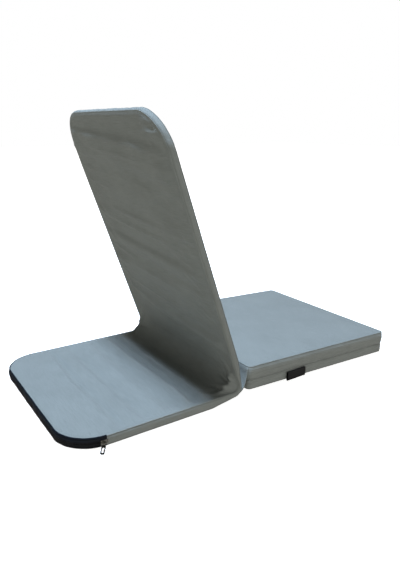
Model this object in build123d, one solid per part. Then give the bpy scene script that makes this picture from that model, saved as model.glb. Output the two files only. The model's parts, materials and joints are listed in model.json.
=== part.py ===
from build123d import *
import os
from math import acos, asin, atan2, cos, degrees, hypot, pi, radians, sin

# Folding floor chair: a flat base pad on the floor behind the sitter, a back that leans over it on
# two ratchet hinges, and a thick seat cushion that hangs on a cloth web in front of the back.
# Millimetres, +Z up.  The sitter faces -Y.  The origin is the middle of the base's flat underside.

os.makedirs("parts", exist_ok=True)

# ---- driving dimensions -------------------------------------------------------------------------
width = 390.0                 # base, back and seat are equally wide
cover = 1.2                   # laminated cover cloth
seam_gap = 0.1                # between the turned edges of two cover panels
seam_lip = 3.0                # how far top and bottom panels come down the side before their seam

base_reach = 331.0            # hinge pivot to the base's rear edge
base_thickness = 20.0
base_corner = 68.0            # plan radius of the base's two rear corners
base_crown = 2.5

back_angle = 70.75            # back above the base, at rest
back_reach = 527.0            # hinge pivot to the back's top edge
back_thickness = 14.8
back_corner = 70.0
back_crown = 2.0

pivot_above_base = 16.0       # pivot to the base's mid-plane
pivot_behind_back = 18.6      # pivot to the back's mid-plane
bend_reach = 50.0             # panels end this far from the pivot, and the bend's cloth takes over
bend_outer = 17.0             # radius of the cloth round the outside of the bend
bend_inner = 39.0             # radius of the cloth in the corner between base and back

seat_length = 393.6
seat_thickness = 50.0
seat_corner = 9.0             # upright edges of the seat
seat_crown = 2.0
seat_overhang = 10.0          # the seat's top reaches this much further back than its underside
seat_setback = 41.0           # pivot to the rear edge of the seat's underside
seat_lift = 13.7              # the rear edge of the seat's underside is carried this high
seat_seam = 21.0              # seam along the seat's side, above its underside
web_drop = 10.0               # seam of the cloth web, below the seat's top
web_thickness = 1.4
web_clear = 1.2               # end of the web to the seat's fold axis

tube_radius = 5.5
tube_wall = 1.2
tube_inset = 16.0             # tube centre line to the edge of its panel
tube_start = 54.0             # pivot to the open ends of both tube frames
cross_bar_radius = 4.5
cross_bar_reach = 72.0

toothed_plate = 3.0
outer_plate = 1.5
plate_play = 0.25             # each side of the toothed plate
eye_radius = 12.0
neck_root = 6.0               # half width of a hinge arm at the pivot
tooth_tip = 11.0
tooth_depth = 1.2
tooth_pitch = 14.0            # degrees
tooth_count = 5
tooth_start = 8.0             # rim angle of the tooth that the pawl holds at rest
pawl_slack = 5.0              # degrees between that tooth's steep flank and the pawl's nose
pawl_bite = 0.35              # how far the nose reaches in under the tooth tips
nose_height = 3.0             # of the pawl's nose, outside the tooth tips
pivot_radius = 3.0
tang_height = 5.0
tang_length = 24.0
neck_length = 18.0            # straight run of an arm outside its tube
pawl_y = 17.0                 # pawl rivet from the pivot
pawl_z = -13.0
pawl_rivet_radius = 1.6
pawl_eye = 3.6
running_play = 0.15           # radial play of a turning plate on its rivet
rivet_head = 1.3
spring_wire = 0.7
spring_turns = 3
spring_clear = 0.7            # from the spring to the plate beside it
spring_leg = 6.5

zip_gap = 1.4                 # slit between the two rows of coil, where the slider's neck runs
coil_height = 2.2
coil_thickness = 2.4
stop_length = 2.4
stop_proud = 1.2
slider_length = 10.0
slider_height = 8.6
slider_plate = 1.2
slider_play = 0.35
pull_length = 22.0
pull_width = 7.0
pull_thickness = 1.6
pull_eye = 2.7                # outer radius of the pull's ring end
eye_play = 0.4
pull_lift = 0.1               # tip of the pull above the floor
pull_yaw = 35.0               # the pull points outwards and a little along the zip
loop_bar = 0.7

label_length = 50.0
label_height = 20.0
label_thickness = 1.6
label_from_rear = 90.0

# ---- worked-out places --------------------------------------------------------------------------
half = width / 2
pivot_y = -(bend_reach + base_reach) / 2
pivot_z = base_thickness / 2 + pivot_above_base
hinge_x = half - tube_inset
plate_gap = toothed_plate / 2 + plate_play
plate_face = plate_gap + outer_plate
cos_back = cos(radians(back_angle))
sin_back = sin(radians(back_angle))
seat_tilt = degrees(asin(seat_lift / seat_length))

# Both panels are drawn from the pivot: y runs away from it along the panel.
at_pivot = Location((0, pivot_y, pivot_z))
at_base = Location((0, pivot_y, base_thickness / 2))
at_back = Location((0, pivot_y, pivot_z), (back_angle, 0, 0))
at_back_panel = at_back * Location((0, 0, pivot_behind_back))
at_seat = Location((0, pivot_y - seat_setback, seat_lift), (seat_tilt, 0, 0))


def save(name, shape):
    """Write one node, as one solid or a group of separate solids."""
    shape.label = name
    export_step(shape, f"parts/{name}.step")


def group(shapes):
    """Separate solids that share a node."""
    return Compound(children=[solid for shape in shapes for solid in shape.solids()])


def slab(low, high, x_size=2 * width, y_size=4 * width):
    """A wide slab between two heights, to cut a cover at its seams."""
    return Pos(0, 0, (low + high) / 2) * Box(x_size, y_size, high - low)


def polar(radius, angle):
    return (radius * cos(radians(angle)), radius * sin(radians(angle)))


# ---- soft panels --------------------------------------------------------------------------------
def panel(reach, thickness, corner, crown_below, crown_above, inset, start):
    """A padded panel: rounded far corners, and faces that swell from the edge seams to the middle."""
    side = half - inset
    end = reach - inset
    edge = thickness / 2 - inset
    tall = thickness + crown_above + crown_below
    outline = Polyline((-side, start), (-side, end), (side, end), (side, start), close=True)
    plan = make_face(outline)
    plan = fillet(plan.vertices().filter_by(lambda v: v.Y > (start + end) / 2), corner - inset)
    body = extrude(plan, amount=tall, both=True)

    def face_arc(low, high, sign, crown):
        if crown == 0:
            return Line((low, sign * edge), (high, sign * edge))
        middle = (low + high) / 2
        return ThreePointArc((low, sign * edge), (middle, sign * (edge + crown)), (high, sign * edge))

    def across():
        top = face_arc(-side - 0.01, side + 0.01, 1, crown_above)
        low = face_arc(-side - 0.01, side + 0.01, -1, crown_below)
        ends = [Line(top @ 0, low @ 0), Line(top @ 1, low @ 1)]
        profile = make_face(Curve() + [top, low] + ends)
        return extrude(Plane.XZ * profile, amount=2 * reach, both=True)

    def along():
        far = bend_reach - 2
        top = face_arc(far, end + 0.01, 1, crown_above)
        low = face_arc(far, end + 0.01, -1, crown_below)
        ends = [Line(top @ 0, low @ 0), Line(top @ 1, low @ 1)]
        profile = make_face(Curve() + [top, low] + ends)
        return extrude(Plane.YZ * profile, amount=width, both=True)

    return body & across() & along()


def base_panel(inset, start=bend_reach):
    return panel(base_reach, base_thickness, base_corner, 0, base_crown, inset, start)


def back_panel(inset, start=bend_reach):
    return panel(back_reach, back_thickness, back_corner, back_crown, back_crown, inset, start)


def cover_shell(solid_at):
    """The cloth of one panel, open towards the bend."""
    return solid_at(0) - solid_at(cover, bend_reach - 1)


# ---- tube frames --------------------------------------------------------------------------------
def frame_path(reach, corner):
    end = reach - tube_inset
    return FilletPolyline(
        (-hinge_x, tube_start, 0),
        (-hinge_x, end, 0),
        (hinge_x, end, 0),
        (hinge_x, tube_start, 0),
        radius=corner - tube_inset,
    )


def tube_along(path, radius):
    return sweep(Plane(path @ 0, z_dir=path % 0) * Circle(radius), path=path)


def frame_tube(reach, corner):
    path = frame_path(reach, corner)
    return tube_along(path, tube_radius) - tube_along(path, tube_radius - tube_wall)


def cross_bar(reach, corner):
    """A straight bar with coped ends, between the two legs of a frame."""
    bar = Pos(0, cross_bar_reach, 0) * Rot(0, 90, 0) * Cylinder(cross_bar_radius, 2 * hinge_x)
    bore = Pos(0, cross_bar_reach, 0) * Rot(0, 90, 0) * Cylinder(cross_bar_radius - tube_wall, width)
    return bar - bore - tube_along(frame_path(reach, corner), tube_radius)


def foam_halves(solid_at, reach, corner):
    """Two foam sheets with the frame pressed between them, and a pocket for each hinge's tang."""
    foam = solid_at(cover, bend_reach)
    foam -= tube_along(frame_path(reach, corner), tube_radius)
    foam -= Pos(0, cross_bar_reach, 0) * Rot(0, 90, 0) * Cylinder(cross_bar_radius, 2 * hinge_x)
    pocket_length = tube_start - bend_reach + 1
    for side in (-1, 1):
        pocket = Box(2 * plate_face + 1, pocket_length, tang_height + 2)
        foam -= Pos(side * hinge_x, bend_reach + pocket_length / 2 - 0.5, 0) * pocket
        relief = Box(2 * tube_radius, bend_reach, 2 * tube_radius)
        foam -= Pos(side * hinge_x, tube_start - bend_reach / 2, 0) * relief
    tall = 2 * base_thickness
    return foam & slab(0, tall), foam & slab(-tall, 0)


# ---- hinges -------------------------------------------------------------------------------------
def plate(sketch, thickness):
    """A plate in the YZ plane, centred on x = 0."""
    return extrude(Plane.YZ * sketch, amount=thickness / 2, both=True)


def arm_sketch(eye, offset):
    """Round eye on the pivot, neck down to the tube's axis, tang inside the tube."""
    knee = tube_start - neck_length
    ends = Circle(neck_root) + Pos(knee, offset) * Circle(tang_height / 2)
    length = tang_length + neck_length
    tang = Pos(knee + length / 2, offset) * Rectangle(length, tang_height)
    return Circle(eye) + make_hull(ends.edges()) + tang


def toothed_disc():
    """Ratchet rim: steep flanks face the pawl's nose, long backs let the back rise click by click."""
    root = tooth_tip - tooth_depth
    points = []
    for tooth in range(-1, tooth_count):
        angle = tooth_start + tooth * tooth_pitch
        points += [polar(root, angle), polar(tooth_tip, angle)]
    points += [polar(root, tooth_start + tooth_count * tooth_pitch)]
    toothed = make_face(Polyline((0, 0), *points, close=True))
    return toothed + Circle(root)


def toothed_arm():
    """The back's half of a hinge, drawn in the back's own frame."""
    neck = arm_sketch(tooth_tip - tooth_depth - 1.5, pivot_behind_back)
    disc = Rot(0, 0, -back_angle) * toothed_disc()
    hole = Circle(pivot_radius + running_play)
    return plate(neck + disc - hole, toothed_plate)


def base_plates():
    """The base's half of a hinge: two outer plates with the toothed plate and pawl between them."""
    sketch = arm_sketch(eye_radius, -pivot_above_base)
    shoulder = Pos(pawl_y, pawl_z) * Circle(pawl_eye + 1.2)
    sketch = sketch + shoulder - Circle(pivot_radius) - Pos(pawl_y, pawl_z) * Circle(pawl_rivet_radius)
    one = plate(sketch, outer_plate)
    shift = plate_gap + outer_plate / 2
    return [Pos(-shift, 0, 0) * one, Pos(shift, 0, 0) * one]


def pawl():
    """A strut from its rivet up to the disc, its nose under the steep flank of one tooth."""
    top = tooth_start - pawl_slack
    low = top - 9
    eye = Pos(pawl_y, pawl_z) * Circle(pawl_eye)
    knuckle = polar(tooth_tip + nose_height - 0.6, (top + low) / 2)
    strut = make_hull((eye + Pos(*knuckle) * Circle(1.8)).edges())
    nose = make_face(
        Polyline(
            polar(tooth_tip - pawl_bite, top),
            polar(tooth_tip + nose_height, top),
            polar(tooth_tip + nose_height + 0.5, low),
            polar(tooth_tip + 0.45, low),
            close=True,
        )
    )
    hole = Pos(pawl_y, pawl_z) * Circle(pawl_rivet_radius + running_play)
    rim = Circle(tooth_tip + 0.3) - Circle(tooth_tip - tooth_depth)
    reach = 3 * tooth_tip
    below_nose = Polyline((0, 0), polar(reach, low), polar(reach, low - 80), close=True)
    return plate(strut + nose - hole - (rim & make_face(below_nose)), toothed_plate)


def rivet(radius, grip, y, z):
    """A rivet along X with a low round head at each end."""
    shank = Rot(0, 90, 0) * Cylinder(radius, grip)
    head = Cylinder(radius + 1.8, rivet_head)
    head = fillet(head.edges().group_by(Axis.Z)[-1], rivet_head * 0.6)
    right = Pos(grip / 2 + rivet_head / 2, 0, 0) * Rot(0, 90, 0) * head
    left = Pos(-grip / 2 - rivet_head / 2, 0, 0) * Rot(0, -90, 0) * head
    return Pos(0, y, z) * (shank + right + left)


def pawl_spring():
    """A few turns of wire round the pawl rivet's inner end, with two straight legs."""
    radius = pawl_rivet_radius + 1.8 + spring_wire
    pitch = spring_wire * 1.5
    coil = Helix(pitch=pitch, height=pitch * spring_turns, radius=radius)
    wire = sweep(Plane(coil @ 0, z_dir=coil % 0) * Circle(spring_wire / 2), path=coil, is_frenet=True)
    legs = []
    for end, sign in ((0, -1), (1, 1)):
        tip = coil @ end
        leg = Cylinder(spring_wire / 2, spring_leg, align=(Align.CENTER, Align.CENTER, Align.MIN))
        legs.append(Plane(tip, z_dir=(coil % end) * sign) * leg)
    return wire + legs[0] + legs[1]


def two_sides(shape):
    """The same piece on both hinges, mirrored about the chair's middle."""
    return [Pos(hinge_x, 0, 0) * shape, Pos(-hinge_x, 0, 0) * mirror(shape, about=Plane.YZ)]


# ---- cloth round the bend -----------------------------------------------------------------------
def tangent_angle(point, radius, turn):
    """Angle on a circle about the pivot where the line from a point touches it."""
    return atan2(point[1], point[0]) + turn * acos(radius / hypot(*point))


def back_point(along, front):
    """A point given in the back's own frame, in pivot-centred y and z."""
    return (along * cos_back - front * sin_back, along * sin_back + front * cos_back)


def bend_profile(inset, reach):
    """Side outline of the bend from the base panel's end face to the back panel's."""
    base_low = -pivot_above_base - base_thickness / 2 + inset
    base_top = -pivot_above_base + base_thickness / 2 - inset
    back_front = pivot_behind_back + back_thickness / 2 - inset
    back_rear = pivot_behind_back - back_thickness / 2 + inset
    outer = bend_outer - inset
    inner = bend_inner + inset
    centre_z = base_top + inner
    centre_y = (inner - back_rear + centre_z * cos_back) / sin_back
    base_foot = (bend_reach, base_low)
    back_foot = back_point(bend_reach, back_front)
    low_angle = tangent_angle(base_foot, outer, -1)
    high_angle = tangent_angle(back_foot, outer, 1)
    low = (outer * cos(low_angle), outer * sin(low_angle))
    high = (outer * cos(high_angle), outer * sin(high_angle))
    middle_angle = (low_angle + high_angle) / 2 - pi
    middle = (outer * cos(middle_angle), outer * sin(middle_angle))
    touch_base = (centre_y, base_top)
    touch_back = (centre_y - inner * sin_back, centre_z + inner * cos_back)
    inward = atan2(-centre_z, -centre_y)
    deepest = (centre_y + inner * cos(inward), centre_z + inner * sin(inward))
    curves = [
        Line((reach, base_low), base_foot) if reach > bend_reach else None,
        Line(base_foot, low),
        ThreePointArc(low, middle, high),
        Line(high, back_foot),
        Line(back_foot, back_point(reach, back_front)) if reach > bend_reach else None,
        Line(back_point(reach, back_front), back_point(reach, back_rear)),
        Line(back_point(reach, back_rear), touch_back),
        ThreePointArc(touch_back, deepest, touch_base),
        Line(touch_base, (reach, base_top)),
        Line((reach, base_top), (reach, base_low)),
    ]
    return make_face(Curve() + [curve for curve in curves if curve is not None])


def bend_solid(inset, reach, side):
    return extrude(Plane.YZ * bend_profile(inset, reach), amount=side, both=True)


# ---- seat ---------------------------------------------------------------------------------------
def seat_solid(inset):
    """The seat block: crowned top, upright side walls, rear wall leaning back over the hinge."""
    side = half - inset
    low = inset
    high = seat_thickness - inset
    peak = high + seat_crown
    lean = seat_overhang / seat_thickness
    front = -seat_length + inset
    outline = Polyline(
        (front, low),
        (lean * low - inset, low),
        (lean * peak - inset, peak),
        (front, peak),
        close=True,
    )
    block = extrude(Plane.YZ * make_face(outline), amount=side, both=True)
    length = seat_length + seat_overhang - 2 * inset
    plan = Rectangle(2 * side, length)
    plan = fillet(plan.vertices(), seat_corner - inset)
    prism = extrude(Pos(0, front + length / 2, 0) * plan, amount=2 * seat_thickness)
    reach = hypot(width, seat_length) / 2
    dome_radius = reach**2 / (2 * seat_crown)
    dome = Pos(0, -seat_length / 2, peak - dome_radius) * Sphere(dome_radius)
    return block & prism & dome


def side_label():
    """A folded woven strip sewn into the lower side seam, left bare."""
    strip = Box(label_thickness, label_length, label_height)
    strip = fillet(strip.edges().filter_by(Axis.Y).group_by(Axis.Z)[0], label_thickness * 0.4)
    place = (-half - label_thickness / 2, -label_from_rear - label_length / 2, seat_seam - label_height / 2)
    return Pos(*place) * strip


# ---- the axis that the seat folds on ------------------------------------------------------------
# It lies on the web's seam, web_drop below the seat's top face.  That face ends parallel to the
# back's front face when the seat is folded up, with a gap for both crowns.
fold_gap = seat_crown + back_crown + 1.5
top_height = seat_thickness - web_drop
front_face = pivot_behind_back + back_thickness / 2 + fold_gap + web_drop
tilt_cos = cos(radians(seat_tilt))
tilt_sin = sin(radians(seat_tilt))
# in pivot-centred y, z: along the seat's top normal, and along the back's front normal
level = top_height + seat_setback * tilt_sin + (seat_lift - pivot_z) * tilt_cos
spread = sin_back * tilt_cos - cos_back * tilt_sin
axis_y = (level * cos_back - front_face * tilt_cos) / spread
axis_z = (level * sin_back - front_face * tilt_sin) / spread
seat_axis = (axis_y, axis_z)


def seat_web():
    """Cloth strip from the bend's front up to the seam on the seat's rear wall."""
    start_angle = radians(170)
    start = (bend_outer * cos(start_angle), bend_outer * sin(start_angle))
    run = (seat_axis[0] - start[0], seat_axis[1] - start[1])
    length = hypot(*run)
    unit = (run[0] / length, run[1] / length)
    gap = 0.8 * web_thickness
    low = (start[0] + unit[0] * gap, start[1] + unit[1] * gap)
    high = (seat_axis[0] - unit[0] * web_clear, seat_axis[1] - unit[1] * web_clear)
    strip_length = hypot(high[0] - low[0], high[1] - low[1])
    strip = Box(2 * (half - seat_corner - 1), strip_length, web_thickness)
    tilt = degrees(atan2(unit[1], unit[0]))
    middle = ((low[0] + high[0]) / 2, (low[1] + high[1]) / 2)
    return Location((0, middle[0], middle[1]), (tilt, 0, 0)) * strip


# ---- zip ----------------------------------------------------------------------------------------
corner_centre_y = base_reach - base_corner


def zip_band(low, high, inner, outer):
    """A band that follows the base's rear wall and both corners, in the base's own frame."""
    start = corner_centre_y - 5

    def block(inset):
        side = half - inset
        end = base_reach - inset
        plan = make_face(Polyline((-side, start), (-side, end), (side, end), (side, start), close=True))
        return fillet(plan.vertices().filter_by(lambda v: v.Y > start + 5), base_corner - inset)

    before = Pos(0, start, 0) * Rectangle(2 * width, 2 * (corner_centre_y - start))
    ring = block(outer) - block(inner) - before
    return Pos(0, 0, low) * extrude(ring, amount=high - low)


def ring_part(inner, outer, low, high, length):
    """A short piece of a ring about the near corner's centre, at the start of its arc."""
    reach = degrees(length / base_corner)
    ring = extrude(Circle(outer) - Circle(inner), amount=high - low)
    wedge = extrude(
        make_face(Polyline((0, 0), polar(200, 180 + reach / 2), polar(200, 180 - reach / 2), close=True)),
        amount=high - low,
    )
    piece = Pos(0, 0, low) * (ring & wedge)
    return piece


slider_turn = degrees((slider_length / 2 + 1.5) / base_corner)
corner_centre = (-half + base_corner, pivot_y + corner_centre_y, base_thickness / 2)
at_corner = Location(corner_centre, (0, 0, -slider_turn))
slider_outside = base_corner + coil_thickness - cover + slider_play
slider_inside = base_corner - cover - slider_play
loop_reach = slider_outside + slider_plate + pull_eye + eye_play
pull_tip = pull_length - pull_eye
pull_droop = degrees(asin((base_thickness / 2 - pull_thickness / 2 - pull_lift) / pull_tip))
at_loop = at_corner * Location((-loop_reach, 0, 0)) * Location((0, 0, 0), (0, 0, -pull_yaw))


def zip_slider():
    """Two plates either side of the zip, a neck through its slit, and a loop for the pull."""
    tall = slider_height / 2
    slit = zip_gap / 2 - 0.2
    outside = ring_part(slider_outside, slider_outside + slider_plate, -tall, tall, slider_length)
    inside = ring_part(slider_inside - slider_plate, slider_inside, -tall, tall, slider_length)
    neck = ring_part(slider_inside - 0.1, slider_outside + 0.1, -slit, slit, slider_length * 0.4)
    span = slider_length * 0.84
    bar = Pos(-loop_reach, 0, 0) * Rot(90, 0, 0) * Cylinder(loop_bar, span)
    foot_length = loop_reach - slider_outside - slider_plate / 2
    foot = Pos(-loop_reach + foot_length / 2, 0, 0) * Box(foot_length, 2 * loop_bar, 2 * loop_bar)
    feet = [Pos(0, sign * (span / 2 - loop_bar), 0) * foot for sign in (-1, 1)]
    return outside + inside + neck + bar + feet[0] + feet[1]


def zip_pull():
    """Flat tab with a ring end round the slider's loop and an oval hole, drooping to the floor."""
    tab_start = pull_eye + 0.5
    tab_length = pull_tip - tab_start
    outline = Pos(-tab_start - tab_length / 2, 0) * RectangleRounded(tab_length, pull_width, pull_width * 0.3)
    oval = Pos(-tab_start - tab_length * 0.55, 0) * SlotOverall(tab_length * 0.6, pull_width * 0.5)
    tab = extrude(outline - oval, amount=pull_thickness / 2, both=True)
    ring = Cylinder(pull_eye, pull_thickness) - Cylinder(pull_eye - loop_bar * 1.4, 2 * pull_thickness)
    link_length = loop_bar + 1.2
    link = Box(link_length, pull_thickness, pull_thickness)
    link = Pos(-pull_eye - 0.7 + loop_bar / 2, 0, 0) * link
    return Rot(0, -pull_droop, 0) * (tab + Rot(90, 0, 0) * ring + link)


# ---- write the nodes ----------------------------------------------------------------------------
def write_base():
    shell = cover_shell(base_panel)
    edge = base_thickness / 2
    seam = edge - seam_lip
    save("base_cover_top", at_base * (shell & slab(seam, 2 * base_thickness)))
    save("base_cover_bottom", at_base * (shell & slab(-base_thickness, -seam)))
    seam -= seam_gap
    before_zip = Pos(0, corner_centre_y - base_reach - seam_gap, 0) * Box(2 * width, 2 * base_reach, width)
    sides = shell & slab(-seam, seam) & before_zip
    slit = zip_gap / 2
    coil_top = slit + coil_height
    save("zipper_tape_upper", at_base * zip_band(coil_top + seam_gap / 2, seam, cover, 0))
    save("zipper_tape_lower", at_base * zip_band(-seam, -coil_top - seam_gap / 2, cover, 0))
    proud = coil_thickness - cover
    coils = [
        zip_band(slit, coil_top, cover, -proud),
        zip_band(-coil_top, -slit, cover, -proud),
    ]
    save("zipper_coils", at_base * group(coils))
    stops = []
    stop_depth = cover - seam_gap + stop_proud
    for side in (-1, 1):
        stop = Box(stop_depth, stop_length, 2 * coil_top)
        stop_x = side * (half + stop_proud - stop_depth / 2)
        place = Pos(stop_x, corner_centre_y - stop_length / 2 - seam_gap, 0)
        stops.append(place * stop)
    save("zipper_end_stops", at_base * group(stops))
    for stop in stops:
        sides -= stop
    save("base_cover_side_walls", at_base * group([sides]))
    save("base_frame_tube", at_base * frame_tube(base_reach, base_corner))
    save("base_cross_bar", at_base * cross_bar(base_reach, base_corner))
    upper, lower = foam_halves(base_panel, base_reach, base_corner)
    channel = zip_band(-slider_height / 2 - 0.6, slider_height / 2 + 0.6, cover + 3.4, cover - 0.1)
    save("base_foam_upper", at_base * (upper - channel))
    save("base_foam_lower", at_base * (lower - channel))


def write_back():
    shell = cover_shell(back_panel)
    seam = back_thickness / 2 - seam_lip / 2
    save("back_cover_front", at_back_panel * (shell & slab(seam, 2 * base_thickness)))
    save("back_cover_rear", at_back_panel * (shell & slab(-2 * base_thickness, -seam)))
    wall = seam - seam_gap
    save("back_cover_side_wall", at_back_panel * (shell & slab(-wall, wall)))
    save("back_frame_tube", at_back_panel * frame_tube(back_reach, back_corner))
    save("back_cross_bar", at_back_panel * cross_bar(back_reach, back_corner))
    front, rear = foam_halves(back_panel, back_reach, back_corner)
    save("back_foam_front", at_back_panel * front)
    save("back_foam_rear", at_back_panel * rear)
    save("seat_hinge_web", at_pivot * seat_web())


def write_hinges():
    left_plates = []
    right_plates = []
    for one in base_plates():
        right, left = two_sides(one)
        right_plates.append(at_pivot * right)
        left_plates.append(at_pivot * left)
    save("hinge_base_plates_right", group(right_plates))
    save("hinge_base_plates_left", group(left_plates))
    right, left = two_sides(toothed_arm())
    save("hinge_toothed_arm_right", at_back * right)
    save("hinge_toothed_arm_left", at_back * left)
    right, left = two_sides(pawl())
    save("hinge_pawl_right", at_pivot * right)
    save("hinge_pawl_left", at_pivot * left)
    grip = 2 * plate_face
    save("hinge_pivot_rivets", at_pivot * group(two_sides(rivet(pivot_radius, grip, 0, 0))))
    pawl_rivet = rivet(pawl_rivet_radius, grip, pawl_y, pawl_z)
    save("hinge_pawl_rivets", at_pivot * group(two_sides(pawl_rivet)))
    wound = spring_wire * 1.5 * spring_turns
    spring_x = -plate_face - spring_wire / 2 - spring_clear - wound
    spring = Pos(spring_x, pawl_y, pawl_z) * Rot(0, 90, 0) * pawl_spring()
    save("hinge_pawl_springs", at_pivot * group(two_sides(spring)))


def write_bend():
    skin = bend_solid(0, bend_reach, half) - bend_solid(cover, bend_reach + 1, half - cover)
    save("bend_cover", at_pivot * skin)
    filling = bend_solid(cover, bend_reach, hinge_x - 3 * plate_face)
    save("bend_foam", at_pivot * filling)


def write_seat():
    outer = seat_solid(0)
    core = seat_solid(cover)
    shell = outer - core
    tall = 2 * seat_thickness
    roll = seat_thickness - seam_lip
    save("seat_foam_block", at_seat * core)
    save("seat_cover_top", at_seat * (shell & slab(roll, tall)))
    save("seat_cover_upper_band", at_seat * (shell & slab(seat_seam + seam_gap, roll - seam_gap)))
    save("seat_cover_lower_band", at_seat * (shell & slab(seam_lip + seam_gap, seat_seam)))
    save("seat_cover_bottom", at_seat * (shell & slab(-1, seam_lip)))
    save("seat_side_label", at_seat * side_label())


def write_zip_runner():
    save("zipper_slider", at_corner * zip_slider())
    save("zipper_pull", at_loop * zip_pull())


write_base()
write_back()
write_hinges()
write_bend()
write_seat()
write_zip_runner()
print("hinge pivot y, z:", round(pivot_y, 2), round(pivot_z, 2))
print("pawl rivet y, z:", round(pivot_y + pawl_y, 2), round(pivot_z + pawl_z, 2))
print("seat fold axis y, z:", round(pivot_y + seat_axis[0], 2), round(pivot_z + seat_axis[1], 2))
print("seat fold to parallel, degrees:", round(180 + seat_tilt - back_angle, 2))
print("pull axis x, y, z:", [round(value, 2) for value in at_loop.position])
print("pull axis turned from +Y, degrees:", round(slider_turn + pull_yaw, 2))
print("zip corner centre x, y:", round(-half + base_corner, 2), round(pivot_y + corner_centre_y, 2))
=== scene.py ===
"""Folding floor chair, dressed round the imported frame. Metres, +Z up, the sitter faces -Y."""
import json
import math

import bpy
import numpy as np
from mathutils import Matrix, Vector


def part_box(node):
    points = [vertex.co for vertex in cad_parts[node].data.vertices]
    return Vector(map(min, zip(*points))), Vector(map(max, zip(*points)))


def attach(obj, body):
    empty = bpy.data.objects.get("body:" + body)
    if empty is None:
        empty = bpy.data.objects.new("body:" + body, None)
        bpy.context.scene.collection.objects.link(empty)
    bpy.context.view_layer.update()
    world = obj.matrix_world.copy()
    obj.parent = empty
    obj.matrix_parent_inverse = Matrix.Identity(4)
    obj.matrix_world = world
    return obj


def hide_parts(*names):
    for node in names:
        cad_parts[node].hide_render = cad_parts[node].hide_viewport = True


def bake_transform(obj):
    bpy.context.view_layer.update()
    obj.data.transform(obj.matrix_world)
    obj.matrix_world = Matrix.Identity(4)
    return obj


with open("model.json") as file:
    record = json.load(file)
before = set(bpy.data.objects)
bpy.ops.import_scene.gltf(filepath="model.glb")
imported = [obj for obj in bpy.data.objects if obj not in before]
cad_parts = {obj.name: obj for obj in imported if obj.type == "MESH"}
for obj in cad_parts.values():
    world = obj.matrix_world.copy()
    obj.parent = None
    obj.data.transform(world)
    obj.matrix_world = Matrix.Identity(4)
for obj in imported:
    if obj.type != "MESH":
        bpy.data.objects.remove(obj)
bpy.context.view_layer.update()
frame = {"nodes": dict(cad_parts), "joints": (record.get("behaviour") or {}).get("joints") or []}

# ---- frame tubes and cross bars -----------------------------------------------------------------
# Each pad is stiffened by a bent round steel tube with a thinner cross bar welded across its legs.
# They are black powder-coated and lie between the two halves of the foam, out of sight.
MM = 0.001
POWDER_BLACK = "#26282A"
POWDER_GRAIN = 0.8 * MM        # orange-peel dimples of baked powder
POWDER_DIMPLE = 0.04 * MM


def linear(hex_colour):
    """An sRGB hex colour as linear RGBA."""
    values = [int(hex_colour[i:i + 2], 16) / 255 for i in (1, 3, 5)]
    return [v / 12.92 if v <= 0.04045 else ((v + 0.055) / 1.055) ** 2.4 for v in values] + [1.0]


def add_node(tree, kind, sockets=(), **settings):
    """Adds one shader node. sockets maps input names or numbers to values, to other outputs, or to
    other nodes, whose first output is meant. A Mix has its share at 0, and its numbers at 2 and 3
    or its colours at 6 and 7. A MapRange has at 1 to 4 the low and high ends that it maps from,
    then those that it maps to."""
    node = tree.nodes.new("ShaderNode" + kind)
    for key, value in settings.items():
        setattr(node, key, value)
    for key, value in dict(sockets).items():
        if isinstance(value, bpy.types.Node):
            value = value.outputs[0]
        if isinstance(value, bpy.types.NodeSocket):
            tree.links.new(value, node.inputs[key])
        else:
            node.inputs[key].default_value = value
    return node


def start_material(name, metallic, roughness):
    """A named material, its node tree and its shader."""
    material = bpy.data.materials.new(name)
    material.use_nodes = True
    shader = material.node_tree.nodes["Principled BSDF"]
    shader.inputs["Metallic"].default_value = metallic
    shader.inputs["Roughness"].default_value = roughness
    return material, material.node_tree, shader


def dress(finish, *names):
    """Gives CAD nodes their finish."""
    for name in names:
        node = frame["nodes"][name]
        node.data.materials.clear()
        node.data.materials.append(finish)


def powder_coat():
    """Baked polyester powder: black, half matt, with a fine orange-peel surface."""
    material, tree, shader = start_material("powder_coated_steel", metallic=0.0, roughness=0.45)
    place = add_node(tree, "TexCoord").outputs["Object"]
    peel = add_node(tree, "TexNoise", {"Vector": place, "Scale": 1 / POWDER_GRAIN, "Detail": 2.0})
    bump = add_node(tree, "Bump", {"Height": peel, "Distance": POWDER_DIMPLE, "Strength": 0.4})
    tree.links.new(bump.outputs[0], shader.inputs["Normal"])
    shader.inputs["Base Color"].default_value = linear(POWDER_BLACK)
    return material


dress(powder_coat(), "base_frame_tube", "base_cross_bar", "back_frame_tube", "back_cross_bar")

# ---- hinges -------------------------------------------------------------------------------------
# A ratchet hinge at each side joins the two frames: a toothed arm between two outer plates, a pawl
# with its spring, and two rivets. They are stamped from steel and zinc plated.
ZINC_BRIGHT = "#B9B8AE"
ZINC_DULL = "#8F8F88"
ZINC_CLOUD = 4.0 * MM          # size of the cloudy patches


def zinc_plate():
    """Electroplated zinc: a grey metal, cloudy, with soft blurred highlights."""
    material, tree, shader = start_material("zinc_plated_steel", metallic=1.0, roughness=0.36)
    place = add_node(tree, "TexCoord").outputs["Object"]
    cloud = add_node(tree, "TexNoise", {"Vector": place, "Scale": 1 / ZINC_CLOUD, "Detail": 4.0})
    tone = add_node(
        tree, "Mix", {0: cloud, 6: linear(ZINC_DULL), 7: linear(ZINC_BRIGHT)}, data_type="RGBA"
    )
    tree.links.new(tone.outputs[2], shader.inputs["Base Color"])
    gloss = add_node(tree, "MapRange", {"Value": cloud, 3: 0.28, 4: 0.46})
    tree.links.new(gloss.outputs[0], shader.inputs["Roughness"])
    return material


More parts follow.
